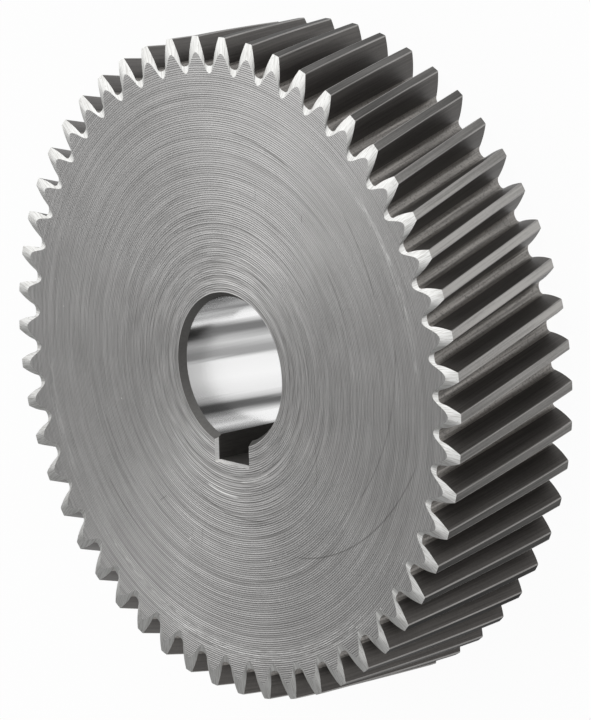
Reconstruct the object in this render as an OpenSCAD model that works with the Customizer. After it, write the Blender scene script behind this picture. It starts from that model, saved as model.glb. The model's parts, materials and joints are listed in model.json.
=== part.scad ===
// Helical gear wheel, cut from one steel disc.
// The part lies on its back face. Z runs along the bore, up to the keyed front face.
// The keyway points along -Y, in line with the middle of a tooth on the front face.

/* [Teeth] */
// Number of teeth
teeth = 52; // [40:1:72]
// Module of the teeth, measured square to the helix
normal_module = 2; // [1.75:0.25:2.5]
// Pressure angle of the flanks, measured square to the helix
pressure_angle = 17.5; // [16:0.5:22]
// Angle between the teeth and the bore, for a left-hand helix
helix_angle = 17.5; // [0:0.5:30]
// Height of a tooth above the pitch circle
addendum = 2.3; // [1.8:0.05:2.4]
// Depth of a tooth space below the pitch circle
dedendum = 2.7; // [2.3:0.05:2.9]
// Play in the mesh: each tooth is this much thinner than its space at the pitch circle
backlash = 0.1; // [0:0.02:0.2]
// Radius at the foot of each flank
root_fillet = 0.85; // [0.2:0.05:1]
// Small break on the two long corners of each tooth's top land
land_break = 0.2; // [0.05:0.05:0.3]

/* [Disc] */
// Width of the teeth, and thickness of the disc
face_width = 26; // [12:0.5:50]

/* [Deburred tooth ends] */
// How far the bevel reaches below the top land, in the middle of a tooth
tip_bevel_reach = 2.75; // [1:0.05:3.2]
// How far the bevel reaches into the disc below a tooth space
root_bevel_reach = 1.25; // [0.4:0.05:2]
// Depth of the bevel along the bore, at the top land
tip_bevel_depth = 0.4; // [0.2:0.05:1.2]
// Depth of the bevel along the bore, at the floor of a tooth space
root_bevel_depth = 0.2; // [0.1:0.05:1.2]

/* [Bore and keyway] */
// Diameter of the bore
bore_d = 25; // [20:0.5:32]
// Width of the bevel at both ends of the bore
bore_bevel = 0.85; // [0.2:0.05:2]
// Depth of that bevel along the bore
bore_bevel_depth = 1.2; // [0.2:0.1:2]
// Width of the key
key_w = 8; // [5:0.5:10]
// Depth of the keyway beyond the wall of the bore
keyway_depth = 3.6; // [2:0.1:5]
// Width of the bevel along the edges of the keyway, on both faces
keyway_bevel = 0.4; // [0.1:0.05:1]
// Depth of that bevel along the bore
keyway_bevel_depth = 0.6; // [0.1:0.05:1]

/* [Hidden] */

// Steps along a flank, round its foot, and along the helix
flank_steps = 3;
foot_steps = 3;
helix_steps = 3;
// How far a cutter runs past a face
overrun = 1;
bore_sides = 96;

tooth_pitch = 360 / teeth;
pitch_r = normal_module * teeth / (2 * cos(helix_angle));
tip_r = pitch_r + addendum;
root_r = pitch_r - dedendum;
// The flanks in the plane of the disc
disc_pressure_angle = atan(tan(pressure_angle) / cos(helix_angle));
base_r = pitch_r * cos(disc_pressure_angle);
// Half of a tooth's thickness at the pitch circle, as an angle at the bore
pitch_half_angle = tooth_pitch / 4 - degrees_at(backlash / 4, pitch_r);
// Turn of the teeth about the bore for each millimetre of height
helix_turn = degrees_at(tan(helix_angle), pitch_r);
// The wavy line on the faces where the bevel of the tooth ends begins
wave_top_r = tip_r - tip_bevel_reach;
wave_foot_r = root_r - root_bevel_reach;
// Direction of the keyway, and of the tooth that is in line with it
key_direction = -90;
bore_r = bore_d / 2;
keyway_floor_r = bore_r + keyway_depth;

// Angle at the bore of an arc with this length and radius
function degrees_at(arc, r) = arc / r * 180 / PI;

// Involute function, in degrees
function involute(a) = tan(a) * 180 / PI - a;

// Half of a tooth's thickness at radius r, as an angle at the bore
function half_angle(r) = pitch_half_angle + involute(disc_pressure_angle)
    - involute(acos(min(1, base_r / r)));

// One side of a tooth, from the corner of its top land to the floor of the space,
// as [radius, angle from the middle of the tooth]
function land_corner() = [[tip_r, half_angle(tip_r - land_break) - degrees_at(land_break, tip_r)]];

function flank() = let (top = tip_r - land_break, low = root_r + root_fillet)
    [for (i = [0:flank_steps]) let (r = top + (low - top) * i / flank_steps) [r, half_angle(r)]];

function foot() = let (
        start = half_angle(root_r + root_fillet),
        reach = min(degrees_at(root_fillet, root_r), 0.95 * (tooth_pitch / 2 - start))
    )
    [for (i = [1:foot_steps]) let (a = 90 * i / foot_steps)
        [root_r + root_fillet * (1 - sin(a)), start + reach * (1 - cos(a))]];

tooth_side = concat(land_corner(), flank(), foot());
side_points = len(tooth_side);

// One tooth and the space after it, with a point in the middle of each
tooth = concat(
    [for (i = [side_points - 1:-1:0]) [tooth_side[i][0], -tooth_side[i][1]]],
    [[tip_r, 0]],
    tooth_side,
    [[root_r, tooth_pitch / 2]]
);
tooth_points = len(tooth);
ring_points = teeth * tooth_points;

// 0 at the floor of a tooth space and 1 at the top land
function tooth_height(r) = (r - root_r) / (tip_r - root_r);

function bevel_depth(r) = root_bevel_depth + (tip_bevel_depth - root_bevel_depth) * tooth_height(r);

// Direction of the middle of a tooth at height z
function tooth_direction(z) = key_direction + (face_width - z) * helix_turn;

function on_disc(r, a, z) = [r * cos(a), r * sin(a), z];

// Outline of the teeth, share 0 at the back bevel and 1 at the front bevel
function outline_ring(share) = [for (k = [0:teeth - 1], p = tooth)
    let (low = bevel_depth(p[0]), z = low + (face_width - 2 * low) * share)
    on_disc(p[0], k * tooth_pitch + p[1] + tooth_direction(z), z)];

// Place on the wave for a point of the outline: 0 in the middle of a tooth, 0.5 of a space
function wave_share(p) = let (side = p[1] < 0 ? -1 : 1)
    (abs(p[1]) / tooth_pitch + (1 - tooth_height(p[0])) / 2) / 2 * side;

function wave_r(share) = wave_foot_r + (wave_top_r - wave_foot_r) * (1 + cos(360 * share)) / 2;

function wave_ring(z) = [for (k = [0:teeth - 1], p = tooth) let (share = wave_share(p))
    on_disc(wave_r(share), (k + share) * tooth_pitch + tooth_direction(z), z)];

function outline_rings() = [for (i = [0:helix_steps], p = outline_ring(i / helix_steps)) p];

// Two triangles between each pair of points on a ring and the pair above it
function band(ring) = [for (i = [0:ring_points - 1])
    let (
        a = ring * ring_points + i,
        b = ring * ring_points + (i + 1) % ring_points,
        c = b + ring_points,
        d = a + ring_points
    )
    each [[a, c, b], [a, d, c]]];

module toothed_disc() {
    rings = helix_steps + 3;
    back_centre = rings * ring_points;
    front_centre = back_centre + 1;
    front_ring = (rings - 1) * ring_points;
    polyhedron(
        points = concat(
            wave_ring(0),
            outline_rings(),
            wave_ring(face_width),
            [[0, 0, 0], [0, 0, face_width]]
        ),
        faces = concat(
            [for (ring = [0:rings - 2]) each band(ring)],
            [for (i = [0:ring_points - 1]) [back_centre, i, (i + 1) % ring_points]],
            [for (i = [0:ring_points - 1])
                [front_centre, front_ring + (i + 1) % ring_points, front_ring + i]]
        )
    );
}

module bore() {
    translate([0, 0, -overrun])
        cylinder(h = face_width + 2 * overrun, r = bore_r, $fn = bore_sides);
}

// Cone at the front end of the bore, which runs on past the face
module bore_end_bevel() {
    rise = bore_bevel_depth + overrun;
    translate([0, 0, face_width - bore_bevel_depth])
        cylinder(h = rise, r1 = bore_r, r2 = bore_r + bore_bevel * rise / bore_bevel_depth,
            $fn = bore_sides);
}

module keyway_slot() {
    translate([-key_w / 2, -keyway_floor_r, -overrun])
        cube([key_w, keyway_floor_r, face_width + 2 * overrun]);
}

// Widening of the keyway at the front face, which runs on past the face
module keyway_end_bevel() {
    rise = keyway_bevel_depth + overrun;
    growth = keyway_bevel * rise / keyway_bevel_depth;
    translate([0, 0, face_width - keyway_bevel_depth])
        linear_extrude(height = rise, scale = [1 + 2 * growth / key_w, 1 + growth / keyway_floor_r])
            translate([-key_w / 2, -keyway_floor_r])
                square([key_w, keyway_floor_r]);
}

// A cut at the front face and the same cut at the back face
module at_both_faces() {
    children();
    translate([0, 0, face_width])
        mirror([0, 0, 1])
            children();
}

module gear_wheel() {
    color("darkgray")
        difference() {
            toothed_disc();
            bore();
            keyway_slot();
            at_both_faces() {
                bore_end_bevel();
                keyway_end_bevel();
            }
        }
}

gear_wheel();
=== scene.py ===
"""Helical gear wheel: a fine skin with its machined finishes, the floor, the light and the camera.

The wheel lies on its back face. Its bore runs along Z and its keyway points along -Y. Sizes are in
millimetres and angles in degrees, unless a name says otherwise, and Blender's own units are metres.
"""

import json
import logging
import math
from dataclasses import dataclass, field
from enum import Enum

import bmesh
import bpy
from mathutils import Matrix, Vector


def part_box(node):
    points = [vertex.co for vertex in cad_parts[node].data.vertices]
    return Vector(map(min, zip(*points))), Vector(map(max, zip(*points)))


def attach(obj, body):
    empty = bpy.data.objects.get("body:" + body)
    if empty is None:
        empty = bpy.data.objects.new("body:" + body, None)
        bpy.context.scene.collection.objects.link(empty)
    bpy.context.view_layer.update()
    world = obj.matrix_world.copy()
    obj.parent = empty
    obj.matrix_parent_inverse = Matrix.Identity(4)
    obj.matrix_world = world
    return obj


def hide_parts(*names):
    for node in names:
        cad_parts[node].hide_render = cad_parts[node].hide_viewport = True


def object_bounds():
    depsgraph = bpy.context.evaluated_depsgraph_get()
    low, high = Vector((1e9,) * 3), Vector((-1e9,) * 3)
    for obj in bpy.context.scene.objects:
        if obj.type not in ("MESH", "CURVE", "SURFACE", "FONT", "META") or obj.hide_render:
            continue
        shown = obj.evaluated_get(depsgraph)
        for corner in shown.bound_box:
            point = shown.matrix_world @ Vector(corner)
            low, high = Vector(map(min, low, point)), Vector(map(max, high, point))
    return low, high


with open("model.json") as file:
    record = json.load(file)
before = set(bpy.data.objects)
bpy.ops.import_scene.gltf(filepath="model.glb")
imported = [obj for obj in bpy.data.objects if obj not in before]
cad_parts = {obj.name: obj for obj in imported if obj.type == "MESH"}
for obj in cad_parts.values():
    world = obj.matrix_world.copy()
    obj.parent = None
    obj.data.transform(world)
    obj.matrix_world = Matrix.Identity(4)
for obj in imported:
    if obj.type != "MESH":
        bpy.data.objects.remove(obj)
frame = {"record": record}

CAD_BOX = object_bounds()
IMAGE_WIDTH = 591
IMAGE_HEIGHT = 720
METRE = 0.001
FULL_TURN = 360.0
QUARTER_TURN = 90.0
# The two sides and the floor of the keyway
KEYWAY_WALLS = 3
# The sRGB curve: straight up to the toe, then a power
SRGB_TOE = 0.04045
SRGB_SLOPE = 12.92
SRGB_OFFSET = 0.055
SRGB_POWER = 2.4
LOG = logging.getLogger("gear_wheel")


class Surface(Enum):
    """Kinds of surface on the wheel. Each has a finish, in a material slot with this number."""

    FACE = 0
    TOOTH_BEVEL = 1
    FLANK = 2
    LAND = 3
    LAND_BREAK = 4
    SPACE_FLOOR = 5
    BORE = 6
    BORE_BEVEL = 7
    KEYWAY = 8
    KEYWAY_BEVEL = 9


def degrees_at(arc: float, radius: float) -> float:
    """Returns the angle at the bore of an arc with this length and radius."""
    return math.degrees(arc / radius)


def involute(angle: float) -> float:
    """Returns the involute function of an angle, in degrees."""
    return math.degrees(math.tan(math.radians(angle))) - angle


def on_disc(radius: float, angle: float, height: float) -> tuple[float, float, float]:
    """Returns the point at this radius, direction and height."""
    turn = math.radians(angle)
    return (radius * math.cos(turn), radius * math.sin(turn), height)


@dataclass
class Skin:
    """A closed skin while it is being built, one loop of points after the other."""

    points: list[tuple[float, float, float]] = field(default_factory=list)
    faces: list[tuple[int, ...]] = field(default_factory=list)
    surfaces: list[Surface] = field(default_factory=list)

    def add_loop(self, points: list[tuple[float, float, float]]) -> list[int]:
        """Adds the points of a loop.

        Args:
            points: The loop's points, in order.

        Returns:
            The number of each point on the skin.
        """
        first = len(self.points)
        self.points.extend(points)
        return list(range(first, len(self.points)))

    def add_face(self, corners: tuple[int, ...], surface: Surface) -> None:
        """Adds a face with its kind of surface."""
        self.faces.append(corners)
        self.surfaces.append(surface)

    def band(self, low: list[int], high: list[int], surfaces: list[Surface]) -> None:
        """Joins two loops of as many points by a band of four-cornered faces.

        Args:
            low: The first loop.
            high: The second loop.
            surfaces: The surface of the face after each point. A shorter list repeats.
        """
        count = len(low)
        for i in range(count):
            after = (i + 1) % count
            self.add_face((low[i], low[after], high[after], high[i]), surfaces[i % len(surfaces)])

    def fill_between(self, outer: list[int], inner: list[int], surface: Surface) -> None:
        """Fills the flat ring between two loops that go once round the bore, with triangles.

        Args:
            outer: The outer loop, anticlockwise seen from +Z.
            inner: The inner loop, also anticlockwise. It may have another number of points.
            surface: The surface of the ring.
        """
        outer, outer_turns = self.from_lowest_direction(outer)
        inner, inner_turns = self.from_lowest_direction(inner)
        i = 0
        j = 0
        while i < len(outer) - 1 or j < len(inner) - 1:
            inner_done = j == len(inner) - 1
            outer_left = i < len(outer) - 1
            if outer_left and (inner_done or outer_turns[i + 1] <= inner_turns[j + 1]):
                self.add_face((outer[i], outer[i + 1], inner[j]), surface)
                i += 1
            else:
                self.add_face((outer[i], inner[j + 1], inner[j]), surface)
                j += 1

    def from_lowest_direction(self, loop: list[int]) -> tuple[list[int], list[float]]:
        """Starts a loop at its lowest direction from the bore and closes it.

        Args:
            loop: A loop, anticlockwise seen from +Z.

        Returns:
            The loop, closed by its first point, and the direction of each point in radians.
        """
        directions = [math.atan2(self.points[i][1], self.points[i][0]) for i in loop]
        start = directions.index(min(directions))
        ordered = loop[start:] + loop[:start]
        turns = directions[start:] + directions[:start]
        return ordered + ordered[:1], turns + [turns[0] + 2 * math.pi]

    def mesh(self, name: str, crease: float) -> bpy.types.Mesh:
        """Makes the mesh, in metres, with sharp edges where the surface changes.

        Args:
            name: Name of the mesh.
            crease: Edges that turn by more than this angle are sharp as well.

        Returns:
            The mesh, with a slot number on each face.
        """
        mesh = bpy.data.meshes.new(name)
        metres = [tuple(value * METRE for value in point) for point in self.points]
        mesh.from_pydata(metres, [], self.faces)
        mesh.polygons.foreach_set("material_index", [surface.value for surface in self.surfaces])
        mesh.polygons.foreach_set("use_smooth", [True] * len(self.faces))
        shape = bmesh.new()
        shape.from_mesh(mesh)
        bmesh.ops.recalc_face_normals(shape, faces=shape.faces)
        # A flank runs smoothly into the floor of its space.
        rolled_over = {Surface.FLANK.value, Surface.SPACE_FLOOR.value}
        for edge in shape.edges:
            kinds = {face.material_index for face in edge.link_faces}
            turned = edge.calc_face_angle(0.0) > math.radians(crease)
            edge.smooth = not turned and (len(kinds) == 1 or kinds == rolled_over)
        shape.to_mesh(mesh)
        shape.free()
        return mesh


@dataclass(frozen=True)
class OutlinePoint:
    """A point on the outline of one tooth, with the surface that runs on from it to the next."""

    radius: float
    angle: float
    surface: Surface


@dataclass(frozen=True)
class Teeth:
    """Helical involute teeth, with bevels at both ends that meet the faces in a wavy line.

    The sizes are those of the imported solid. Only the depth of the bevels is worked out in another
    way, from their width, because their slope is what the eye sees.
    """

    face_width: float
    teeth: int = 52
    # Module and pressure angle are measured square to the helix, which is left-handed
    normal_module: float = 2.0
    pressure_angle: float = 17.5
    helix_angle: float = 17.5
    # Height of a tooth above the pitch circle, and depth of a space below it
    addendum: float = 2.3
    dedendum: float = 2.7
    # How much thinner each tooth is than its space, at the pitch circle
    backlash: float = 0.1
    # Radius at the foot of each flank
    root_fillet: float = 0.85
    # Largest share of half a tooth space that the radius at the foot of a flank may take
    fillet_share: float = 0.95
    # Break on the two long corners of each land
    land_break: float = 0.2
    # How far the wavy line lies below the land, and below the floor of a space
    tip_bevel_reach: float = 2.75
    root_bevel_reach: float = 1.25
    # Depth of the bevel along the bore for each millimetre of its width
    bevel_slope: float = 0.145
    # Direction of the keyway, and of the tooth that is in line with it on the front face
    key_direction: float = -90.0
    # Steps along a flank, round its foot, round a corner, along the helix and across a bevel
    flank_steps: int = 8
    foot_steps: int = 5
    break_steps: int = 2
    helix_steps: int = 14
    bevel_steps: int = 3
    # The nearest place on the wavy line is looked for this many tooth pitches to each side
    search_reach: float = 0.6
    search_steps: int = 120

    @property
    def tooth_pitch(self) -> float:
        """Angle from one tooth to the next."""
        return FULL_TURN / self.teeth

    @property
    def pitch_radius(self) -> float:
        """Radius of the pitch circle."""
        return self.normal_module * self.teeth / (2 * math.cos(math.radians(self.helix_angle)))

    @property
    def tip_radius(self) -> float:
        """Radius of the top lands."""
        return self.pitch_radius + self.addendum

    @property
    def root_radius(self) -> float:
        """Radius of the floors of the tooth spaces."""
        return self.pitch_radius - self.dedendum

    @property
    def disc_pressure_angle(self) -> float:
        """Pressure angle in the plane of the disc."""
        slope = math.tan(math.radians(self.pressure_angle))
        return math.degrees(math.atan(slope / math.cos(math.radians(self.helix_angle))))

    @property
    def helix_turn(self) -> float:
        """Turn of the teeth about the bore for each millimetre of height."""
        return degrees_at(math.tan(math.radians(self.helix_angle)), self.pitch_radius)

    def half_angle(self, radius: float) -> float:
        """Returns half of a tooth's thickness at a radius, as an angle at the bore."""
        base_radius = self.pitch_radius * math.cos(math.radians(self.disc_pressure_angle))
        at_pitch = self.tooth_pitch / 4 - degrees_at(self.backlash / 4, self.pitch_radius)
        opening = math.degrees(math.acos(min(1.0, base_radius / radius)))
        return at_pitch + involute(self.disc_pressure_angle) - involute(opening)

    def tooth_side(self) -> list[OutlinePoint]:
        """Returns one side of a tooth, from the middle of its land to the floor of the space."""
        flank_top = self.tip_radius - self.land_break
        flank_low = self.root_radius + self.root_fillet
        turn_in = degrees_at(self.land_break, self.tip_radius)
        side = [OutlinePoint(self.tip_radius, 0.0, Surface.LAND)]
        for i in range(self.break_steps):
            share = math.radians(QUARTER_TURN * i / self.break_steps)
            radius = flank_top + self.land_break * math.cos(share)
            angle = self.half_angle(flank_top) - turn_in * (1 - math.sin(share))
            side.append(OutlinePoint(radius, angle, Surface.LAND_BREAK))
        for i in range(self.flank_steps):
            radius = flank_top + (flank_low - flank_top) * i / self.flank_steps
            side.append(OutlinePoint(radius, self.half_angle(radius), Surface.FLANK))
        space_left = self.tooth_pitch / 2 - self.half_angle(flank_low)
        reach = min(degrees_at(self.root_fillet, self.root_radius), self.fillet_share * space_left)
        for i in range(self.foot_steps + 1):
            share = math.radians(QUARTER_TURN * i / self.foot_steps)
            radius = self.root_radius + self.root_fillet * (1 - math.sin(share))
            angle = self.half_angle(flank_low) + reach * (1 - math.cos(share))
            side.append(OutlinePoint(radius, angle, Surface.SPACE_FLOOR))
        return side

    def outline(self) -> list[OutlinePoint]:
        """Returns one tooth and the space after it, anticlockwise."""
        side = self.tooth_side()
        rising = []
        for here, before in zip(reversed(side[1:]), reversed(side[:-1])):
            rising.append(OutlinePoint(here.radius, -here.angle, before.surface))
        middle_of_space = OutlinePoint(self.root_radius, self.tooth_pitch / 2, Surface.SPACE_FLOOR)
        return rising + side + [middle_of_space]

    def tooth_height(self, radius: float) -> float:
        """Returns 0 at the floor of a tooth space and 1 at the top land."""
        return (radius - self.root_radius) / (self.tip_radius - self.root_radius)

    def wave_share(self, point: OutlinePoint) -> float:
        """Returns a point's place on the wavy line: 0 in the middle of a tooth, 0.5 of a space."""
        off_middle = abs(point.angle) / self.tooth_pitch
        share = (off_middle + (1 - self.tooth_height(point.radius)) / 2) / 2
        return math.copysign(share, point.angle)

    def wave_radius(self, share: float) -> float:
        """Returns the radius of the wavy line at a place on it."""
        top = self.tip_radius - self.tip_bevel_reach
        foot = self.root_radius - self.root_bevel_reach
        return foot + (top - foot) * (1 + math.cos(2 * math.pi * share)) / 2

    def bevel_depth(self, point: OutlinePoint) -> float:
        """Returns how deep the bevel reaches along the bore at a point of the outline.

        The depth follows the distance to the wavy line, so that the bevel has nearly one slope.
        That is the mean of two distances: to the nearest place, and to the place that the point is
        joined to.
        """
        steps = range(-self.search_steps, self.search_steps + 1)
        shares = [self.search_reach * step / self.search_steps for step in steps]
        nearest = min(self.bevel_width(point, share) for share in shares)
        return self.bevel_slope * (nearest + self.bevel_width(point, self.wave_share(point))) / 2

    def bevel_width(self, point: OutlinePoint, share: float) -> float:
        """Returns the distance from a point of the outline to a place on the wavy line."""
        radius = self.wave_radius(share)
        arc = math.radians(point.angle - share * self.tooth_pitch) * point.radius
        return math.hypot(point.radius - radius, arc)

    def tooth_direction(self, height: float) -> float:
        """Returns the direction of the first tooth at a height."""
        return self.key_direction + (self.face_width - height) * self.helix_turn

    def outline_loop(self, share: float) -> list[tuple[float, float, float]]:
        """Returns the outline of all teeth: share 0 is at the back bevel and 1 at the front one."""
        depths = [(point, self.bevel_depth(point)) for point in self.outline()]
        loop = []
        for tooth in range(self.teeth):
            for point, low in depths:
                height = low + (self.face_width - 2 * low) * share
                direction = tooth * self.tooth_pitch + point.angle + self.tooth_direction(height)
                loop.append(on_disc(point.radius, direction, height))
        return loop

    def wave_loop(self, height: float) -> list[tuple[float, float, float]]:
        """Returns the wavy line where the bevels meet the face at a height."""
        loop = []
        for tooth in range(self.teeth):
            for point in self.outline():
                share = self.wave_share(point)
                direction = (tooth + share) * self.tooth_pitch + self.tooth_direction(height)
                loop.append(on_disc(self.wave_radius(share), direction, height))
        return loop

    def build(self, skin: Skin) -> tuple[list[int], list[int]]:
        """Adds the teeth and their bevels to the skin.

        Args:
            skin: The skin that they go into.

        Returns:
            The wavy lines on the back and the front face.
        """
        surfaces = [point.surface for point in self.outline()]
        heights = [i / self.helix_steps for i in range(self.helix_steps + 1)]
        outlines = [self.outline_loop(share) for share in heights]
        loops = [skin.add_loop(points) for points in outlines]
        for low, high in zip(loops, loops[1:]):
            skin.band(low, high, surfaces)
        back = self.build_bevel(skin, loops[0], outlines[0], self.wave_loop(0.0))
        front = self.build_bevel(skin, loops[-1], outlines[-1], self.wave_loop(self.face_width))
        return back, front

    def build_bevel(
        self,
        skin: Skin,
        outline: list[int],
        outline_points: list[tuple[float, float, float]],
        wave_points: list[tuple[float, float, float]],
    ) -> list[int]:
        """Adds the bevel between the outline of the teeth and the wavy line on a face.

        Args:
            skin: The skin that it goes into.
            outline: The outline's point numbers on the skin.
            outline_points: The outline's points.
            wave_points: The wavy line's points, as many.

        Returns:
            The wavy line's point numbers on the skin.
        """
        edge = outline
        for step in range(1, self.bevel_steps + 1):
            share = step / self.bevel_steps
            points = [
                tuple(Vector(start).lerp(Vector(end), share))
                for start, end in zip(outline_points, wave_points)
            ]
            next_edge = skin.add_loop(points)
            skin.band(edge, next_edge, [Surface.TOOTH_BEVEL])
            edge = next_edge
        return edge


@dataclass(frozen=True)
class KeyedBore:
    """Bore with a keyway, bevelled at both faces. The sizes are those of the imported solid."""

    face_width: float
    bore_radius: float
    # Width of each bevel, and its depth along the bore
    bore_bevel: float = 0.85
    bore_bevel_depth: float = 1.2
    key_width: float = 8.0
    # Depth of the keyway beyond the wall of the bore
    keyway_depth: float = 3.6
    keyway_bevel: float = 0.4
    keyway_bevel_depth: float = 0.6
    # Steps round the bore, along a wall of the keyway, down a bevel and along the bore
    arc_steps: int = 150
    wall_steps: int = 3
    bevel_steps: int = 4
    length_steps: int = 6

    def section(self, height: float) -> list[tuple[float, float, float]]:
        """Returns the bore's outline at a height: its arc, then the keyway's walls and floor."""
        depth = min(height, self.face_width - height)
        radius = self.bore_radius + self.bore_bevel * max(0.0, 1 - depth / self.bore_bevel_depth)
        widening = self.keyway_bevel * max(0.0, 1 - depth / self.keyway_bevel_depth)
        half_width = self.key_width / 2 + widening
        floor = self.bore_radius + self.keyway_depth + widening
        mouth = math.sqrt(radius**2 - half_width**2)
        start = -math.degrees(math.atan2(mouth, half_width))
        sweep = FULL_TURN - 2 * (QUARTER_TURN + start)
        turns = [start + sweep * i / self.arc_steps for i in range(self.arc_steps)]
        loop = [on_disc(radius, turn, height) for turn in turns]
        corners = [
            (-half_width, -mouth),
            (-half_width, -floor),
            (half_width, -floor),
            (half_width, -mouth),
        ]
        for (x, y), (next_x, next_y) in zip(corners, corners[1:]):
            for i in range(self.wall_steps):
                share = i / self.wall_steps
                loop.append((x + (next_x - x) * share, y + (next_y - y) * share, height))
        return loop

    def heights(self) -> list[float]:
        """Returns the heights of the loops, from the back face to the front face."""
        low = self.bore_bevel_depth
        bevel = [low * i / self.bevel_steps for i in range(self.bevel_steps)]
        length = self.face_width - 2 * low
        middle = [low + length * i / self.length_steps for i in range(self.length_steps + 1)]
        return bevel + middle + [self.face_width - depth for depth in reversed(bevel)]

    def surfaces(self, height: float) -> list[Surface]:
        """Returns the surface after each point of the section at a height."""
        depth = min(height, self.face_width - height)
        bore = Surface.BORE_BEVEL if depth < self.bore_bevel_depth else Surface.BORE
        keyway = Surface.KEYWAY_BEVEL if depth < self.keyway_bevel_depth else Surface.KEYWAY
        return [bore] * self.arc_steps + [keyway] * (KEYWAY_WALLS * self.wall_steps)

    def build(self, skin: Skin) -> tuple[list[int], list[int]]:
        """Adds the bore to the skin.

        Args:
            skin: The skin that it goes into.

        Returns:
            The bore's edges on the back and the front face.
        """
        heights = self.heights()
        loops = [skin.add_loop(self.section(height)) for height in heights]
        for i in range(len(loops) - 1):
            middle = (heights[i] + heights[i + 1]) / 2
            skin.band(loops[i], loops[i + 1], self.surfaces(middle))
        return loops[0], loops[-1]


@dataclass(frozen=True)
class GearWheel:
    """The whole wheel, in one closed skin."""

    name: str = "gear_wheel_steel"
    node: str = "gear_wheel"
    body: str = "root"
    slot: str = "steel"
    # Edges that turn by more than this are sharp
    crease: float = 40.0
    # Rings of points on the faces, so that no triangle runs from the teeth to the bore
    ring_radii: tuple[float, ...] = (48.5, 41.0, 33.0, 25.0, 18.5)
    ring_points: int = 260

    def build(self, finishes: dict[Surface, "Finish"]) -> bpy.types.Object:
        """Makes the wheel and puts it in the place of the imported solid.

        Args:
            finishes: The finish of each kind of surface.

        Returns:
            The wheel's object.
        """
        low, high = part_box(self.node)
        face_width = (high - low).z / METRE
        bore = next(mount for mount in frame["record"]["mounts"] if mount["name"] == "bore")
        skin = Skin()
        wave_lines = Teeth(face_width).build(skin)
        bore_edges = KeyedBore(face_width, bore["dims"]["r_mm"]).build(skin)
        for wave_line, bore_edge, height in zip(wave_lines, bore_edges, (0.0, face_width)):
            self.build_face(skin, wave_line, bore_edge, height)
        wheel = bpy.data.objects.new(self.name, skin.mesh(self.name, self.crease))
        bpy.context.scene.collection.objects.link(wheel)
        for surface in Surface:
            wheel.data.materials.append(finishes[surface].material())
        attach(wheel, self.body)
        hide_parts(self.node)
        LOG.info("%s: %d faces", wheel.name, len(wheel.data.polygons))
        return wheel

    def build_face(
        self, skin: Skin, wave_line: list[int], bore_edge: list[int], height: float
    ) -> None:
        """Fills a face between the wavy line of the bevels and the edge of the bore."""
        step = FULL_TURN / self.ring_points
        rings = [
            skin.add_loop([on_disc(radius, step * i, height) for i in range(self.ring_points)])
            for radius in self.ring_radii
        ]
        skin.fill_between(wave_line, rings[0], Surface.FACE)
        for outer, inner in zip(rings, rings[1:]):
            skin.band(outer, inner, [Surface.FACE])
        skin.fill_between(rings[-1], bore_edge, Surface.FACE)


def linear(colour: str) -> tuple[float, float, float, float]:
    """Turns an sRGB hex colour such as "#8A8A88" into linear red, green, blue and alpha."""
    channels = [int(colour[i:i + 2], 16) / 255 for i in (1, 3, 5)]
    straight = [
        c / SRGB_SLOPE if c <= SRGB_TOE else ((c + SRGB_OFFSET) / (1 + SRGB_OFFSET)) ** SRGB_POWER
        for c in channels
    ]
    return (*straight, 1.0)


def add_node(
    tree: bpy.types.NodeTree, kind: str, inputs: dict | None = None, **settings
) -> bpy.types.Node:
    """Adds a node, sets it and links it.

    Args:
        tree: The node tree that it goes into.
        kind: The node's type.
        inputs: What goes into each input, by name or number. A socket is linked, a node is linked
            by its first output, and anything else is set as the input's value.
        settings: The node's own settings.

    Returns:
        The new node.
    """
    node = tree.nodes.new(kind)
    for name, value in settings.items():
        setattr(node, name, value)
    for key, value in (inputs or {}).items():
        source = value.outputs[0] if isinstance(value, bpy.types.Node) else value
        if isinstance(source, bpy.types.NodeSocket):
            tree.links.new(source, node.inputs[key])
        else:
            node.inputs[key].default_value = source
    return node


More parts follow.
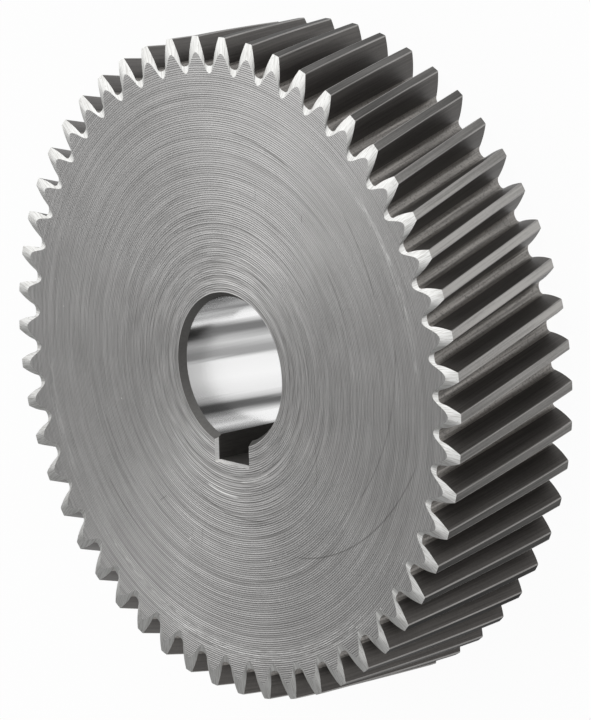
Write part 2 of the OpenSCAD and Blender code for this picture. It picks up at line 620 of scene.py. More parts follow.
class WheelPlace:
    """Where a point of the wheel lies, in millimetres and degrees, as sockets for its finishes."""

    def __init__(self, tree: bpy.types.NodeTree) -> None:
        """Adds the nodes to a material's tree."""
        self.tree = tree
        spot = add_node(tree, "ShaderNodeTexCoord").outputs["Object"]
        per_metre = {0: spot, 1: (1 / METRE, 1 / METRE, 1 / METRE)}
        self.position = add_node(tree, "ShaderNodeVectorMath", per_metre, operation="MULTIPLY")
        without_height = {0: self.position, 1: (1.0, 1.0, 0.0)}
        flat = add_node(tree, "ShaderNodeVectorMath", without_height, operation="MULTIPLY")
        self.around = add_node(tree, "ShaderNodeVectorMath", {0: flat}, operation="NORMALIZE")
        length = add_node(tree, "ShaderNodeVectorMath", {0: flat}, operation="LENGTH")
        self.radius = length.outputs["Value"]
        parts = add_node(tree, "ShaderNodeSeparateXYZ", {0: self.position})
        self.across_key = parts.outputs["Y"]
        self.height = parts.outputs["Z"]
        self.direction = self.direction_of(self.position)

    def direction_of(self, vector: bpy.types.Node) -> bpy.types.Node:
        """Returns the direction of a vector from the bore, in degrees."""
        parts = add_node(self.tree, "ShaderNodeSeparateXYZ", {0: vector})
        ways = {0: parts.outputs["Y"], 1: parts.outputs["X"]}
        turn = add_node(self.tree, "ShaderNodeMath", ways, operation="ARCTAN2")
        in_degrees = {0: turn, 1: math.degrees(1.0)}
        return add_node(self.tree, "ShaderNodeMath", in_degrees, operation="MULTIPLY")

    def face_direction(self, back_turn: float) -> bpy.types.Node:
        """Returns the direction on the front face, turned by an angle on the back face."""
        top = CAD_BOX[1].z / METRE
        turn_by_height = {
            0: self.height,
            1: -math.radians(back_turn) / top,
            2: math.radians(back_turn),
        }
        turn = add_node(self.tree, "ShaderNodeMath", turn_by_height, operation="MULTIPLY_ADD")
        way = {"Vector": self.position, "Angle": turn}
        turned = add_node(self.tree, "ShaderNodeVectorRotate", way, rotation_type="Z_AXIS")
        return self.direction_of(turned)

    def weigh(self, start: float, parts: list[tuple[bpy.types.Node, float]]) -> bpy.types.Node:
        """Adds up values.

        Args:
            start: What the sum starts from.
            parts: Each value with its weight.

        Returns:
            The last node of the sum.
        """
        total = start
        for value, weight in parts:
            term = {0: value, 1: weight, 2: total}
            total = add_node(self.tree, "ShaderNodeMath", term, operation="MULTIPLY_ADD")
        return total

    def along_rings(self, arc_count: float, spacing: float) -> bpy.types.Node:
        """Returns a vector for marks that run round the bore.

        Args:
            arc_count: How often the marks change on their way round, per radian.
            spacing: Distance from one mark to the next.
        """
        marks = {0: self.radius, 1: 1 / spacing}
        across = add_node(self.tree, "ShaderNodeMath", marks, operation="MULTIPLY")
        across = add_node(self.tree, "ShaderNodeCombineXYZ", {"Z": across})
        way = {0: self.around, 1: (arc_count, arc_count, 0.0), 2: across}
        return add_node(self.tree, "ShaderNodeVectorMath", way, operation="MULTIPLY_ADD")

    def along_teeth(self, length: float, spacing: float, helix_turn: float) -> bpy.types.Node:
        """Returns a vector for marks that run along the helical teeth.

        Args:
            length: How long a mark is along the tooth.
            spacing: Distance from one mark to the next.
            helix_turn: Turn of the teeth about the bore for each millimetre of height.
        """
        by_height = {0: self.height, 1: math.radians(helix_turn)}
        turn = add_node(self.tree, "ShaderNodeMath", by_height, operation="MULTIPLY")
        way = {"Vector": self.position, "Angle": turn}
        straight = add_node(self.tree, "ShaderNodeVectorRotate", way, rotation_type="Z_AXIS")
        scale = {0: straight, 1: (1 / spacing, 1 / spacing, 1 / length)}
        return add_node(self.tree, "ShaderNodeVectorMath", scale, operation="MULTIPLY")


@dataclass(frozen=True, kw_only=True)
class Finish:
    """A machined finish on bare steel."""

    name: str
    roughness: float
    metallic: float = 1.0

    def material(self) -> bpy.types.Material:
        """Returns the finish as a material."""
        material = bpy.data.materials.new(self.name)
        material.use_nodes = True
        tree = material.node_tree
        tree.nodes.clear()
        look = {"Metallic": self.metallic, "Roughness": self.roughness}
        look.update(self.draw(tree, WheelPlace(tree)))
        steel = add_node(tree, "ShaderNodeBsdfPrincipled", look)
        add_node(tree, "ShaderNodeOutputMaterial", {"Surface": steel})
        return material

    def draw(self, tree: bpy.types.NodeTree, place: WheelPlace) -> dict:
        """Adds the marks of the finish.

        Args:
            tree: The material's node tree.
            place: Where a point lies.

        Returns:
            What goes into each of the shader's inputs, by name.
        """
        raise NotImplementedError


@dataclass(frozen=True, kw_only=True)
class TonedFinish(Finish):
    """A finish that runs from a shade, where its tone is 0, to a highlight, where it is 1."""

    shade: str
    highlight: str

    def toned(self, tree: bpy.types.NodeTree, tone: bpy.types.Node) -> bpy.types.Node:
        """Returns the colour for a tone."""
        colours = {"Fac": tone, "Color1": linear(self.shade), "Color2": linear(self.highlight)}
        return add_node(tree, "ShaderNodeMixRGB", colours)


@dataclass(frozen=True)
class Mark:
    """A mark that runs round the bore on a face, and may drift in or out on its way.

    Its start and end are directions from the bore. Its strength is above 0 for a bright mark and
    below 0 for a dark one.
    """

    start: float
    end: float
    start_radius: float
    end_radius: float
    width: float
    strength: float


@dataclass(frozen=True, kw_only=True)
class TurnedFace(TonedFinish):
    """Face turned on a lathe: fine concentric tool marks that spread the light across them."""

    # The lathe's feed, which is the distance between the rings, as measured in the photo.
    feed: float = 0.37
    # Depth of the relief. Real rings are a few microns deep. These are deeper, so that they show.
    groove_depth: float = 0.023
    # The gloss is stretched, and a quarter of a turn lays it across the rings.
    anisotropy: float = 0.68
    gloss_turn: float = 0.25
    # Zones about three rings wide, where the rings are deeper or shallower.
    zone_width: float = 1.1
    # Arcs where the tool tore the steel: a little over one ring wide and about 20 degrees long.
    arc_spacing: float = 0.45
    arc_count: float = 3.0
    # Ripples from the tool's chatter: full at the first radius and a quarter of it at the second.
    ripple_radii: tuple[float, float] = (18.0, 40.0)
    ripple_left: float = 0.25
    # Thin stains of oil, as wide as a fingertip.
    stain_size: float = 9.0
    # Painted light: rise of tone for each millimetre away from the keyway.
    painted_light_rise: float = 0.004
    # Bright specks of dust and small dents: their distance, and the radii between which one fades.
    speck_spacing: float = 5.5
    speck_radii: tuple[float, float] = (0.0825, 0.22)
    speck_strength: float = 0.7
    # Hairlines inside a scuff. Real ones are about 0.05 mm apart. A pixel of the photo is 0.17 mm,
    # so they are drawn as coarse as they need to be to show.
    hairline_spacing: float = 0.22
    hairline_count: float = 16.0
    # Marks wider than this are scuffs of many hairlines.
    scuff_width: float = 0.6
    # Share of a mark over which each of its ends fades.
    fade_share: float = 0.1
    scuff: str = "#F4F4F2"
    stain: str = "#4A4846"
    # The back face has the same marks, turned by this angle.
    back_turn: float = 150.0
    marks: tuple[Mark, ...] = (
        # Scuffs along the rim, from handling
        Mark(4.0, 54.0, 47.2, 47.4, 0.9, 0.6),
        Mark(22.0, 44.0, 46.6, 47.5, 0.2, 0.4),
        Mark(-140.0, -98.0, 47.6, 47.8, 1.0, 0.45),
        Mark(-118.0, -44.0, 49.0, 49.6, 2.6, 0.35),
        Mark(-176.0, -150.0, 48.4, 48.6, 0.8, 0.45),
        # Long dark scratches that drift across the rings
        Mark(-64.0, -10.0, 33.4, 47.6, 0.22, -0.55),
        Mark(-30.0, 16.0, 36.2, 43.2, 0.2, -0.45),
        Mark(24.0, 46.0, 40.8, 42.6, 0.25, -0.4),
        Mark(66.0, 88.0, 40.2, 41.2, 0.3, -0.45),
        Mark(-146.0, -112.0, 40.8, 39.8, 0.25, -0.4),
        Mark(-160.0, -136.0, 35.6, 35.0, 0.2, -0.35),
        Mark(-44.0, -20.0, 28.8, 22.2, 0.18, -0.3),
        Mark(14.0, 40.0, 31.5, 32.5, 0.2, -0.35),
        # Rubbed places beside the keyway
        Mark(-112.0, -70.0, 24.2, 26.4, 0.25, -0.5),
        Mark(-108.0, -86.0, 21.6, 22.0, 0.3, 0.5),
        Mark(-84.0, -60.0, 19.2, 19.0, 0.25, 0.45),
        # Short nicks
        Mark(-106.2, -105.0, 30.0, 32.5, 0.5, -0.5),
        Mark(-127.0, -125.4, 32.2, 30.2, 0.4, -0.5),
        Mark(75.4, 76.8, 31.0, 34.0, 0.4, -0.4),
        Mark(55.0, 56.4, 33.8, 35.0, 0.3, -0.5),
    )

    def draw(self, tree: bpy.types.NodeTree, place: WheelPlace) -> dict:
        """Adds the rings, the stains between them, the marks and a few specks."""
        waves = {0: place.radius, 1: 2 * math.pi / self.feed}
        phase = add_node(tree, "ShaderNodeMath", waves, operation="MULTIPLY")
        ring = add_node(tree, "ShaderNodeMath", {0: phase}, operation="SINE")
        zones = add_node(
            tree,
            "ShaderNodeTexNoise",
            {"W": place.radius, "Scale": 1 / self.zone_width, "Detail": 3.0, "Roughness": 0.7},
            noise_dimensions="1D",
        )
        crisp = add_node(
            tree,
            "ShaderNodeMapRange",
            {"Value": zones, "From Min": 0.35, "From Max": 0.65, "To Min": 0.4, "To Max": 1.2},
        )
        groove = add_node(tree, "ShaderNodeMath", {0: ring, 1: crisp}, operation="MULTIPLY")
        arc_place = place.along_rings(self.arc_count, self.arc_spacing)
        arcs = add_node(
            tree,
            "ShaderNodeTexNoise",
            {"Vector": arc_place, "Scale": 1.0, "Detail": 1.2, "Roughness": 0.6},
        )
        stains = add_node(
            tree,
            "ShaderNodeTexNoise",
            {"Vector": place.position, "Scale": 1 / self.stain_size, "Detail": 4.0},
        )
        near_bore = add_node(
            tree,
            "ShaderNodeMapRange",
            {
                "Value": place.radius,
                "From Min": self.ripple_radii[0],
                "From Max": self.ripple_radii[1],
                "To Min": 1.0,
                "To Max": self.ripple_left,
            },
        )
        # Both noises have a mean of a half, so their sum is brought back to about 0.
        uneven = place.weigh(-2.0, [(zones, 2.0), (arcs, 2.0)])
        ripples = add_node(tree, "ShaderNodeMath", {0: uneven, 1: near_bore}, operation="MULTIPLY")
        # Each pattern's share of the relief, then of the tone.
        height = place.weigh(0.0, [(groove, 1.3), (zones, 2.6), (arcs, 0.3), (ripples, 2.8)])
        parts = [(groove, 0.36), (zones, 0.8), (arcs, 0.5), (ripples, 0.3), (stains, 0.4)]
        # The tone also rises away from the keyway, which is painted light.
        tone = place.weigh(-0.35, [*parts, (place.across_key, self.painted_light_rise)])
        tone = add_node(tree, "ShaderNodeClamp", {0: tone})
        colour = self.toned(tree, tone)
        wear_and_painted_light = self.worn_places(tree, place, place.face_direction(self.back_turn))
        for share, shown in zip(wear_and_painted_light, (self.scuff, self.stain)):
            layers = {"Fac": share, "Color1": colour, "Color2": linear(shown)}
            colour = add_node(tree, "ShaderNodeMixRGB", layers)
        relief = {"Height": height, "Strength": 1.0, "Distance": self.groove_depth * METRE}
        return {
            "Base Color": colour,
            "Normal": add_node(tree, "ShaderNodeBump", relief),
            "Tangent": add_node(tree, "ShaderNodeTangent", direction_type="RADIAL", axis="Z"),
            "Anisotropic": self.anisotropy,
            "Anisotropic Rotation": self.gloss_turn,
        }

    def worn_places(
        self, tree: bpy.types.NodeTree, place: WheelPlace, direction: bpy.types.Node
    ) -> tuple[bpy.types.Node, bpy.types.Node]:
        """Adds the scuffs, scratches and specks.

        Args:
            tree: The material's node tree.
            place: Where a point lies.
            direction: The direction on the face.

        Returns:
            How bright and how dark the marks are at a point.
        """
        hairline_place = place.along_rings(self.hairline_count, self.hairline_spacing)
        hairlines = add_node(
            tree,
            "ShaderNodeTexNoise",
            {"Vector": hairline_place, "Scale": 1.0, "Detail": 3.0, "Roughness": 0.7},
        )
        streaks = add_node(
            tree, "ShaderNodeMapRange", {"Value": hairlines, "From Min": 0.48, "From Max": 0.62}
        )
        cells = add_node(
            tree,
            "ShaderNodeTexVoronoi",
            {"Vector": place.position, "Scale": 1 / self.speck_spacing},
        )
        specks = add_node(
            tree,
            "ShaderNodeMapRange",
            {
                "Value": cells.outputs["Distance"],
                "From Min": self.speck_radii[0] / self.speck_spacing,
                "From Max": self.speck_radii[1] / self.speck_spacing,
                "To Min": self.speck_strength,
                "To Max": 0.0,
            },
        )
        bright = [specks]
        dark = []
        for mark in self.marks:
            line = self.draw_mark(tree, place, direction, mark)
            if mark.width > self.scuff_width:
                line = add_node(tree, "ShaderNodeMath", {0: line, 1: streaks}, operation="MULTIPLY")
            (bright if mark.strength > 0 else dark).append(line)
        strongest = []
        for lines in (bright, dark):
            most = lines[0]
            for line in lines[1:]:
                most = add_node(tree, "ShaderNodeMath", {0: most, 1: line}, operation="MAXIMUM")
            strongest.append(most)
        return strongest[0], strongest[1]

    def draw_mark(
        self,
        tree: bpy.types.NodeTree,
        place: WheelPlace,
        direction: bpy.types.Node,
        mark: Mark,
    ) -> bpy.types.Node:
        """Returns how strong a mark is at a point."""
        share = add_node(
            tree,
            "ShaderNodeMapRange",
            {"Value": direction, "From Min": mark.start, "From Max": mark.end},
        )
        radius = place.weigh(mark.start_radius, [(share, mark.end_radius - mark.start_radius)])
        off = add_node(tree, "ShaderNodeMath", {0: place.radius, 1: radius}, operation="SUBTRACT")
        off = add_node(tree, "ShaderNodeMath", {0: off}, operation="ABSOLUTE")
        line = add_node(
            tree,
            "ShaderNodeMapRange",
            {"Value": off, "From Max": mark.width, "To Min": abs(mark.strength), "To Max": 0.0},
        )
        # The share from the nearer end of the mark, so both ends fade alike.
        from_end = add_node(tree, "ShaderNodeMath", {0: share, 1: 0.5}, operation="PINGPONG")
        fade = add_node(
            tree, "ShaderNodeMapRange", {"Value": from_end, "From Max": self.fade_share}
        )
        return add_node(tree, "ShaderNodeMath", {0: line, 1: fade}, operation="MULTIPLY")


@dataclass(frozen=True, kw_only=True)
class BrushedBevel(TonedFinish):
    """Bevel deburred with a rotating brush: bright, with fine crossing lines and some dark pits."""

    # Two sets of brush lines, each with its slant and its spacing in degrees of direction. At the
    # rim that is 0.15 and 0.21 mm. Real ones are about 0.05 mm apart, which is too fine to show.
    line_sets: tuple[tuple[float, float], ...] = ((8.0, 0.16), (-32.0, 0.22))
    # How often a line changes along its length, which makes it about 3 mm long.
    lengths_per_mm: float = 0.35
    line_depth: float = 0.0025
    # Pits about 0.4 mm wide, which the brush left from the cut below.
    pits_per_mm: float = 2.4

    def draw(self, tree: bpy.types.NodeTree, place: WheelPlace) -> dict:
        """Adds the brush lines and the pits."""
        spot = add_node(tree, "ShaderNodeCombineXYZ", {0: place.direction, 1: place.radius})
        sets = []
        for slant, spacing in self.line_sets:
            lines = add_node(
                tree,
                "ShaderNodeMapping",
                {
                    "Vector": spot,
                    "Rotation": (0.0, 0.0, math.radians(slant)),
                    "Scale": (1 / spacing, self.lengths_per_mm, 1.0),
                },
            )
            noise = {"Vector": lines, "Scale": 1.0, "Detail": 2.0}
            sets.append((add_node(tree, "ShaderNodeTexNoise", noise), 1.0))
        pits = add_node(
            tree,
            "ShaderNodeTexNoise",
            {"Vector": place.position, "Scale": self.pits_per_mm, "Detail": 3.0},
        )
        clean = add_node(
            tree, "ShaderNodeMapRange", {"Value": pits, "From Min": 0.30, "From Max": 0.36}
        )
        # Where the two sets cross, their mean of a half each is brought back to a half in all.
        brush = place.weigh(-0.5, sets)
        tone = add_node(
            tree, "ShaderNodeMapRange", {"Value": brush, "From Min": 0.30, "From Max": 0.56}
        )
        tone = add_node(tree, "ShaderNodeMath", {0: tone, 1: clean}, operation="MULTIPLY")
        relief = {"Height": brush, "Strength": 1.0, "Distance": self.line_depth * METRE}
        return {
            "Base Color": self.toned(tree, tone),
            "Normal": add_node(tree, "ShaderNodeBump", relief),
        }


@dataclass(frozen=True, kw_only=True)
class CutSteel(TonedFinish):
    """Steel as a hob, broach or file left it: fine marks along the tooth or bore, and some pits."""

    # The tool's marks: 0.35 mm apart, as the cutting edges of a hob leave them, and 14 mm long.
    mark_spacing: float = 0.35
    mark_length: float = 14.0
    mark_depth: float = 0.006
    # Turn of the marks about the bore for each millimetre of height, which is that of the teeth.
    helix_turn: float = 0.331
    # Grain of the film of oil, with patches about 0.4 mm wide.
    grains_per_mm: float = 2.5
    # How much darker the lowest parts of the grain are, as pits.
    pits: float = 0.0
    # Painted light: pairs of a direction from the bore and how light the surface is painted there.
    painted_light_levels: tuple[tuple[float, float], ...] = ()
    # What is left of the glare at a low angle, which a film of oil dulls.
    low_angle_glare: float = 1.0

    def draw(self, tree: bpy.types.NodeTree, place: WheelPlace) -> dict:
        """Adds the marks, a fine grain, the pits and the painted light."""
        mark_place = place.along_teeth(self.mark_length, self.mark_spacing, self.helix_turn)
        marks = add_node(
            tree,
            "ShaderNodeTexNoise",
            {"Vector": mark_place, "Scale": 1.0, "Detail": 3.0, "Roughness": 0.6},
        )
        grain = add_node(
            tree,
            "ShaderNodeTexNoise",
            {"Vector": place.position, "Scale": self.grains_per_mm, "Detail": 3.0},
        )
        tone = place.weigh(0.2, [(marks, 1.2), (grain, 0.3)])
        tone = add_node(
            tree, "ShaderNodeMapRange", {"Value": tone, "From Min": 0.7, "From Max": 1.2}
        )
        if self.pits:
            pit = add_node(
                tree,
                "ShaderNodeMapRange",
                {"Value": grain, "From Min": 0.37, "From Max": 0.42, "To Min": 1 - self.pits},
            )
            tone = add_node(tree, "ShaderNodeMath", {0: tone, 1: pit}, operation="MULTIPLY")
        if self.painted_light_levels:
            # The marks raise or lower the painted light by about a third.
            tone = place.weigh(0.7, [(tone, 0.6)])
            wear_and_painted_light = {0: tone, 1: self.painted_light(tree, place)}
            tone = add_node(tree, "ShaderNodeMath", wear_and_painted_light, operation="MULTIPLY")
        relief = {"Height": marks, "Strength": 1.0, "Distance": self.mark_depth * METRE}
        glare = self.low_angle_glare
        return {
            "Base Color": self.toned(tree, tone),
            "Normal": add_node(tree, "ShaderNodeBump", relief),
            "Specular Tint": (glare, glare, glare, 1.0),
        }

    def painted_light(self, tree: bpy.types.NodeTree, place: WheelPlace) -> bpy.types.Node:
        """Returns the painted light at a point, by its direction from the bore."""
        share = place.weigh(0.5, [(place.direction, 1 / FULL_TURN)])
        wear_and_painted_light = add_node(tree, "ShaderNodeValToRGB", {"Fac": share})
        # The ramp runs from -180 to 180 degrees. Of its own two stops, the last goes at once and
        # the first when there are others.
        ramp = wear_and_painted_light.color_ramp.elements
        ramp.remove(ramp[1])
        for turn, level in self.painted_light_levels:
            ramp.new(0.5 + turn / FULL_TURN).color = (level, level, level, 1.0)
        ramp.remove(ramp[0])
        return wear_and_painted_light


@dataclass(frozen=True, kw_only=True)
class ReamedBore(Finish):
    """Bore reamed to size: bright, with painted reflections in dull and bright bands along it."""

    # Painted reflections: what the bore would mirror of the studio, as pairs of an angle from the
    # keyway and a shade.
    painted_reflections: tuple[tuple[float, str], ...] = (
        (-180.0, "#B0B0B0"),
        (-160.0, "#949494"),
        (-147.0, "#A8A8A8"),
        (-139.0, "#BCBCBC"),
        (-132.0, "#848484"),
        (-123.0, "#FAFAFA"),
        (-118.0, "#FAFAFA"),
        (-112.0, "#7A7A7A"),
        (-107.0, "#7C7C7C"),
        (-98.0, "#D8D8D8"),
        (-91.0, "#A6A6A6"),
        (-86.5, "#A6A6A6"),
        (-83.5, "#F6F6F6"),
        (-70.0, "#FCFCFC"),
        (-56.0, "#F0F0F0"),
        (-51.0, "#CCCCCC"),
        (-47.5, "#5F5F5F"),
        (-43.0, "#6C6C6C"),
        (-35.0, "#FAFAFA"),
        (-24.0, "#FAFAFA"),
        (-19.0, "#808080"),
        (40.0, "#C8C8C8"),
        (180.0, "#B0B0B0"),
    )
    # Turn of a band for each millimetre of height, as the light comes in at a slant, and the height
    # at which the bands have the angles above.
    skew: float = 0.25
    level_height: float = 18.0
    # Streaks of the reamer: how often they change across the bore, how long they are, and how far
    # they shift the edge of a band, in degrees.
    streaks_per_mm: float = 1.6
    streak_length: float = 40.0
    streak_shift: float = 4.0

    def draw(self, tree: bpy.types.NodeTree, place: WheelPlace) -> dict:
        """Adds the painted reflections in bands along the bore, and fine streaks between them."""
        turn = {0: place.direction, 1: QUARTER_TURN}
        from_key = add_node(tree, "ShaderNodeMath", turn, operation="ADD")
        scale = (self.streaks_per_mm, self.streaks_per_mm, 1 / self.streak_length)
        along_bore = {0: place.position, 1: scale}
        along = add_node(tree, "ShaderNodeVectorMath", along_bore, operation="MULTIPLY")
        noise = {"Vector": along, "Scale": 1.0, "Detail": 2.0}
        streaks = add_node(tree, "ShaderNodeTexNoise", noise)
        parts = [(from_key, 1.0), (streaks, self.streak_shift), (place.height, self.skew)]
        start = -self.streak_shift / 2 - self.level_height * self.skew
        angle = place.weigh(start, parts)
        half_turn = {0: angle, 1: FULL_TURN / 2, 2: -FULL_TURN / 2}
        angle = add_node(tree, "ShaderNodeMath", half_turn, operation="WRAP")
        share = place.weigh(0.5, [(angle, 1 / FULL_TURN)])
        # Painted reflections: the bands go into the bore's colour.
        painted_reflections = add_node(tree, "ShaderNodeValToRGB", {"Fac": share})
        # The ramp runs from -180 to 180 degrees, and its own two stops are its ends.
        ramp = painted_reflections.color_ramp.elements
        for turn, shade in self.painted_reflections[1:-1]:
            ramp.new(0.5 + turn / FULL_TURN).color = linear(shade)
        ramp[0].color = linear(self.painted_reflections[0][1])
        ramp[len(ramp) - 1].color = linear(self.painted_reflections[-1][1])
        return {"Base Color": painted_reflections}


# Painted light on the lands: how light each is painted, by direction from the bore. From -80 to
# 100 degrees it follows the photo. The other lands aren't in sight there, and most have an even
# level.
LAND_PAINTED_LIGHT = (
    (-180.0, 0.6),
    (-90.0, 0.6),
    (-80.0, 0.3),
    (-73.0, 0.03),
    (-40.0, 0.03),
    (-23.0, 0.16),
    (-15.0, 0.23),
    (-8.0, 0.4),
    (3.0, 0.53),
    (18.0, 1.0),
    (31.0, 0.95),
    (48.0, 0.42),
    (57.0, 0.22),
    (67.0, 0.36),
    (77.0, 0.26),
    (92.0, 0.18),
    (115.0, 0.22),
    (135.0, 0.6),
    (180.0, 0.6),
)


def steel_finishes() -> dict[Surface, Finish]:
    """Returns the finish of each kind of surface. All are bare carbon steel."""
    return {
        # Faced on a lathe: fine rings 0.37 mm apart, which fan the light out at top and bottom.
        Surface.FACE: TurnedFace(
            name="turned_face", shade="#8A8988", highlight="#C1C0BF", roughness=0.42
        ),
        # Deburred with a rotating wire brush: almost white, with fine crossing lines.
        Surface.TOOTH_BEVEL: BrushedBevel(
            name="brushed_bevel", shade="#BCBBB8", highlight="#DBDBD9", roughness=0.28
        ),
        # Cut by a hob: dull, only partly metallic, with faint lines along the tooth.
        # Its dark colour is painted shade and painted dark reflection between the teeth.
        Surface.FLANK: CutSteel(
            name="hobbed_flank",
            shade="#4A4745",
            highlight="#625F5C",
            roughness=0.45,
            metallic=0.6,
        ),
        # Turned before the teeth were cut. Painted light by direction from the bore: dark on most
        # sides, grey on a few.
        Surface.LAND: CutSteel(
            name="turned_land",
            shade="#161616",
            highlight="#ADABA8",
            roughness=0.40,
            painted_light_levels=LAND_PAINTED_LIGHT,
            low_angle_glare=0.62,
        ),
        # Corner broken with a file: a thin line that is brighter than what it runs between.
        Surface.LAND_BREAK: CutSteel(
            name="deburred_corner", shade="#807E7C", highlight="#9E9C9A", roughness=0.35
        ),
        # Cut by the tips of the hob, which tear the steel a little: warm grey with small dark pits.
        Surface.SPACE_FLOOR: CutSteel(
            name="hobbed_floor",
            shade="#7A7774",
            highlight="#B7B3AE",
            roughness=0.50,
            metallic=0.6,
            pits=0.7,
        ),
        # Reamed to size: the brightest surface, with reflections of light and dark painted in bands
        # along it.
        Surface.BORE: ReamedBore(name="reamed_bore", roughness=0.18),
        # Bored at an angle with a coarser feed: plain dull grey.
        Surface.BORE_BEVEL: CutSteel(
            name="bored_bevel", shade="#706F6D", highlight="#7B7A78", roughness=0.6
        ),
        # Pulled out with a broach and never polished: nearly black in the shade of the bore.
        Surface.KEYWAY: CutSteel(
            name="broached_keyway",
            shade="#565452",
            highlight="#686663",
            roughness=0.40,
            metallic=0.6,
        ),
        # Filed by hand: bright steel along the edge of the keyway, too rough to mirror anything.
        Surface.KEYWAY_BEVEL: CutSteel(
            name="filed_keyway_bevel",
            shade="#E6E5E3",
            highlight="#FAF9F7",
            roughness=0.30,
            metallic=0.5,
        ),
    }


def away_at(direction: float, elevation: float) -> Vector:
    """Returns the way from the wheel to what stands at this direction and elevation."""
    turn = math.radians(direction)
    rise = math.radians(elevation)
    level = math.cos(rise)
    return Vector((math.cos(turn) * level, math.sin(turn) * level, math.sin(rise)))


@dataclass(frozen=True)
class Glow:
    """A soft pale place on the dome, with its spread in degrees."""

    direction: float
    elevation: float
    spread: float
    level: float

    def add_to(
        self, tree: bpy.types.NodeTree, way: bpy.types.NodeSocket, total: float | bpy.types.Node
    ) -> bpy.types.Node:
        """Adds the glow to the dome.

        Args:
            tree: The dome's node tree.
            way: The direction of the sky.
            total: The level so far.

        Returns:
            The level with this glow.
        """
        sides = {0: way, 1: tuple(away_at(self.direction, self.elevation))}
        near = add_node(tree, "ShaderNodeVectorMath", sides, operation="DOT_PRODUCT")
        sharp = 1 / math.radians(self.spread) ** 2
        slope = {0: near.outputs["Value"], 1: sharp, 2: -sharp}
        line = add_node(tree, "ShaderNodeMath", slope, operation="MULTIPLY_ADD")
        bell = add_node(tree, "ShaderNodeMath", {0: line}, operation="EXPONENT")
        term = {0: bell, 1: self.level, 2: total}
        return add_node(tree, "ShaderNodeMath", term, operation="MULTIPLY_ADD")


@dataclass(frozen=True)
class SoftLamp:
    """A soft rectangular lamp that faces the wheel. Its distance and size are in metres."""

    name: str
    direction: float
    elevation: float
    distance: float
    width: float
    height: float
    radiance: float

    def build(self, target: Vector) -> None:
        """Adds the lamp.

        Args:
            target: What it shines at.
        """
        light = bpy.data.lights.new(self.name, "AREA")
        light.shape = "RECTANGLE"
        light.size = self.width
        light.size_y = self.height
        light.energy = self.radiance * math.pi * (self.width * self.height)
        lamp = bpy.data.objects.new(self.name, light)
        away = away_at(self.direction, self.elevation)
        lamp.location = target + away * self.distance
        lamp.rotation_euler = away.to_track_quat("Z", "Y").to_euler()
        bpy.context.scene.collection.objects.link(lamp)
        LOG.info("%s: radiance %.2f", self.name, self.radiance)


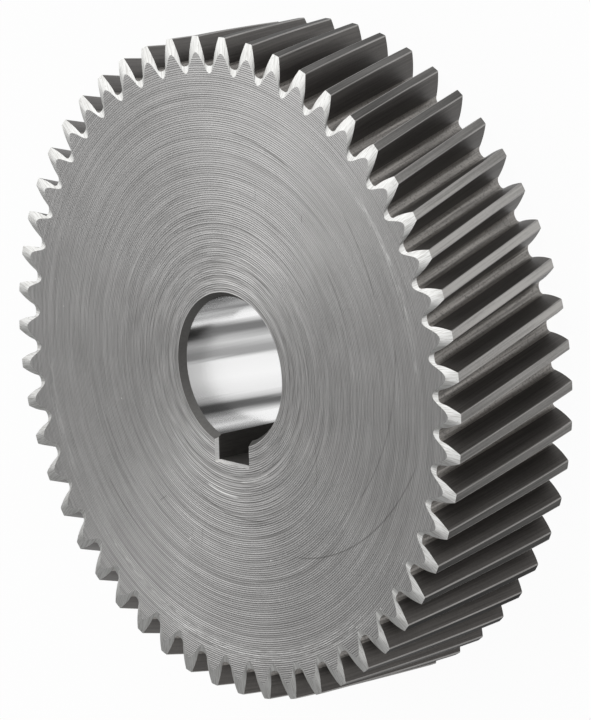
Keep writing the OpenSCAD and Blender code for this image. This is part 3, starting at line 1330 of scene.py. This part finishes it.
@dataclass(frozen=True)
class Studio:
    """The floor, the dome of light round the wheel and the soft lamps. Its sizes are in metres."""

    floor_size: float = 60.0
    # Gap below the wheel, so that its back face and the floor don't lie in one plane.
    floor_drop: float = 0.00005
    floor_shade: str = "#F4F4F4"
    # How far the floor shows as plain white. The rest of it shows the wheel's soft shadow.
    floor_white: float = 0.96
    # The dome is nearly dark but for the glows, which stand for the walls and cards of the studio.
    dome_level: float = 0.02
    glows: tuple[Glow, ...] = (
        Glow(direction=90.0, elevation=15.0, spread=20.0, level=1.05),
        Glow(direction=90.0, elevation=45.0, spread=20.0, level=0.66),
        Glow(direction=30.0, elevation=15.0, spread=24.0, level=0.85),
        Glow(direction=125.0, elevation=25.0, spread=14.0, level=0.94),
        Glow(direction=180.0, elevation=3.0, spread=12.0, level=0.80),
        Glow(direction=215.0, elevation=8.0, spread=14.0, level=0.40),
        Glow(direction=212.0, elevation=42.0, spread=10.0, level=0.30),
        Glow(direction=0.0, elevation=5.0, spread=25.0, level=0.25),
        Glow(direction=285.0, elevation=25.0, spread=24.0, level=0.75),
    )
    # The second lamp is the bright middle of the first.
    lamps: tuple[SoftLamp, ...] = (
        SoftLamp(
            name="softbox",
            direction=160.0,
            elevation=48.0,
            distance=2.4,
            width=2.76,
            height=2.45,
            radiance=0.82,
        ),
        SoftLamp(
            name="softbox_middle",
            direction=164.0,
            elevation=44.5,
            distance=2.4,
            width=2.4,
            height=1.56,
            radiance=0.58,
        ),
    )

    def build_floor(self) -> None:
        """Adds a plain white floor that keeps the wheel's soft shadow."""
        half = self.floor_size / 2
        mesh = bpy.data.meshes.new("floor")
        corners = [(-half, -half, 0.0), (half, -half, 0.0), (half, half, 0.0), (-half, half, 0.0)]
        mesh.from_pydata(corners, [], [(0, 1, 2, 3)])
        floor = bpy.data.objects.new("floor", mesh)
        floor.location.z = CAD_BOX[0].z - self.floor_drop
        bpy.context.scene.collection.objects.link(floor)
        material = bpy.data.materials.new("white_floor")
        material.use_nodes = True
        tree = material.node_tree
        tree.nodes.clear()
        ray = add_node(tree, "ShaderNodeLightPath")
        seen = ray.outputs["Is Camera Ray"]
        for kind in ("Is Glossy Ray", "Is Transmission Ray"):
            either = {0: seen, 1: ray.outputs[kind]}
            seen = add_node(tree, "ShaderNodeMath", either, operation="MAXIMUM")
        share = {0: seen, 1: self.floor_white}
        share = add_node(tree, "ShaderNodeMath", share, operation="MULTIPLY")
        paper = add_node(tree, "ShaderNodeBsdfDiffuse", {"Color": linear(self.floor_shade)})
        white = add_node(
            tree, "ShaderNodeEmission", {"Color": (1.0, 1.0, 1.0, 1.0), "Strength": 1.0}
        )
        shown = add_node(tree, "ShaderNodeMixShader", {0: share, 1: paper, 2: white})
        add_node(tree, "ShaderNodeOutputMaterial", {"Surface": shown})
        mesh.materials.append(material)
        LOG.info("floor: %.0f m across", self.floor_size)

    def build_dome(self) -> None:
        """Sets the world to a dark dome with soft pale places."""
        world = bpy.data.worlds.new("dome")
        bpy.context.scene.world = world
        world.use_nodes = True
        tree = world.node_tree
        tree.nodes.clear()
        way = add_node(tree, "ShaderNodeTexCoord").outputs["Generated"]
        level = self.dome_level
        for glow in self.glows:
            level = glow.add_to(tree, way, level)
        light = {"Color": (1.0, 1.0, 1.0, 1.0), "Strength": level}
        sky = add_node(tree, "ShaderNodeBackground", light)
        add_node(tree, "ShaderNodeOutputWorld", {"Surface": sky})
        LOG.info("dome: %d glows", len(self.glows))

    def build_lamps(self) -> None:
        """Adds the soft lamps, which face the middle of the wheel."""
        wheel = (CAD_BOX[0] + CAD_BOX[1]) / 2
        for lamp in self.lamps:
            lamp.build(wheel)


@dataclass(frozen=True)
class PhotoCamera:
    """The camera at the photograph's viewing angle: a long lens, rolled a quarter turn and more.

    Its numbers fit the edges of the teeth in the photo. The lens and the sensor are in millimetres,
    and so is the depth, which is the distance of the front face along the lens axis. The axis meets
    the picture below its middle, as the photo is cropped.
    """

    azimuth: float = 107.998
    elevation: float = 39.887
    roll: float = -103.235
    depth: float = 1023.77
    lens: float = 302.577
    sensor: float = 36.0
    centre_pixel: tuple[float, float] = (229.55, 370.32)
    lens_pixel: tuple[float, float] = (295.5, 524.28)

    def build(self, centre: Vector) -> None:
        """Adds the camera and makes it the scene's own.

        Args:
            centre: Middle of the front face, which shows at the centre pixel.
        """
        long_side = max(IMAGE_WIDTH, IMAGE_HEIGHT)
        data = bpy.data.cameras.new("camera")
        data.lens = self.lens
        data.sensor_width = self.sensor
        data.shift_x = (IMAGE_WIDTH / 2 - self.lens_pixel[0]) / long_side
        data.shift_y = (self.lens_pixel[1] - IMAGE_HEIGHT / 2) / long_side
        camera = bpy.data.objects.new("camera", data)
        bpy.context.scene.collection.objects.link(camera)
        turn = math.radians(self.azimuth)
        rise = math.radians(self.elevation)
        level = Vector((math.cos(turn), math.sin(turn), 0.0))
        away = (math.sin(turn) * math.cos(rise), -math.cos(turn) * math.cos(rise), math.sin(rise))
        back = Vector(away)
        upright = back.cross(level)
        roll = math.radians(self.roll)
        right = level * math.cos(roll) + upright * math.sin(roll)
        up = upright * math.cos(roll) - level * math.sin(roll)
        pixel = self.depth * METRE * self.sensor / (self.lens * long_side)
        across = (self.centre_pixel[0] - self.lens_pixel[0]) * pixel
        down = (self.centre_pixel[1] - self.lens_pixel[1]) * pixel
        place = centre + back * self.depth * METRE - right * across + up * down
        turned = Matrix((right, up, back)).transposed().to_4x4()
        camera.matrix_world = Matrix.Translation(place) @ turned
        bpy.context.scene.camera = camera
        LOG.info("camera: %.0f mm lens", self.lens)


def main() -> None:
    """Builds the wheel, the floor, the light and the camera, in that order."""
    logging.basicConfig(level=logging.INFO, format="%(name)s: %(message)s")
    bpy.context.scene.view_settings.view_transform = "Standard"
    GearWheel().build(steel_finishes())
    studio = Studio()
    studio.build_floor()
    studio.build_dome()
    studio.build_lamps()
    PhotoCamera().build(Vector((0.0, 0.0, CAD_BOX[1].z)))


if __name__ == "__main__":
    main()
